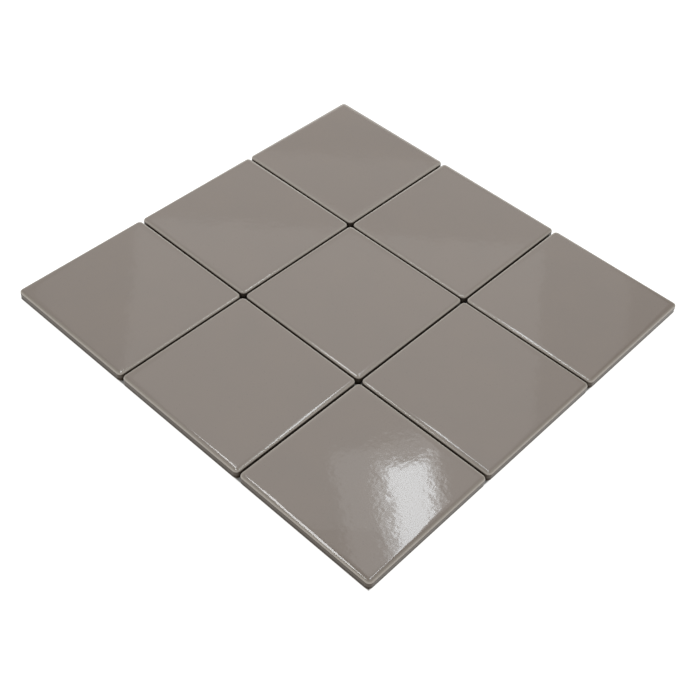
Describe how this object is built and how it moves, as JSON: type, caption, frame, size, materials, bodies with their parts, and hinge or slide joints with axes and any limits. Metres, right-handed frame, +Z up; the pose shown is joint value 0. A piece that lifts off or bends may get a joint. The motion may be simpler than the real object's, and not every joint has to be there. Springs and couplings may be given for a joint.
{
  "type": "mosaic tile sheet",
  "caption": "Flat mosaic sheet of square glazed ceramic tiles with soft rims and open joints, held on a glass-yarn backing mesh.",
  "frame": {"origin": "middle of the sheet on the plane it rests on, under the backing mesh", "axes": "+Z up out of the glazed faces; +X along the rows from column 1 to the last, +Y along the columns from row 1 to the last"},
  "size_m": [0.2986, 0.2986, 0.0069],
  "materials": {
    "glazed_tile": "glossy",
    "backing_mesh": "matte"
  },
  "bodies": {
    "root": {"tile_row1_column1": "glazed_tile", "tile_row1_column2": "glazed_tile", "tile_row1_column3": "glazed_tile", "tile_row2_column1": "glazed_tile", "tile_row2_column2": "glazed_tile", "tile_row2_column3": "glazed_tile", "tile_row3_column1": "glazed_tile", "tile_row3_column2": "glazed_tile", "tile_row3_column3": "glazed_tile", "mesh_yarns_lengthwise": "backing_mesh", "mesh_yarns_crosswise": "backing_mesh"}
  },
  "joints": []
}
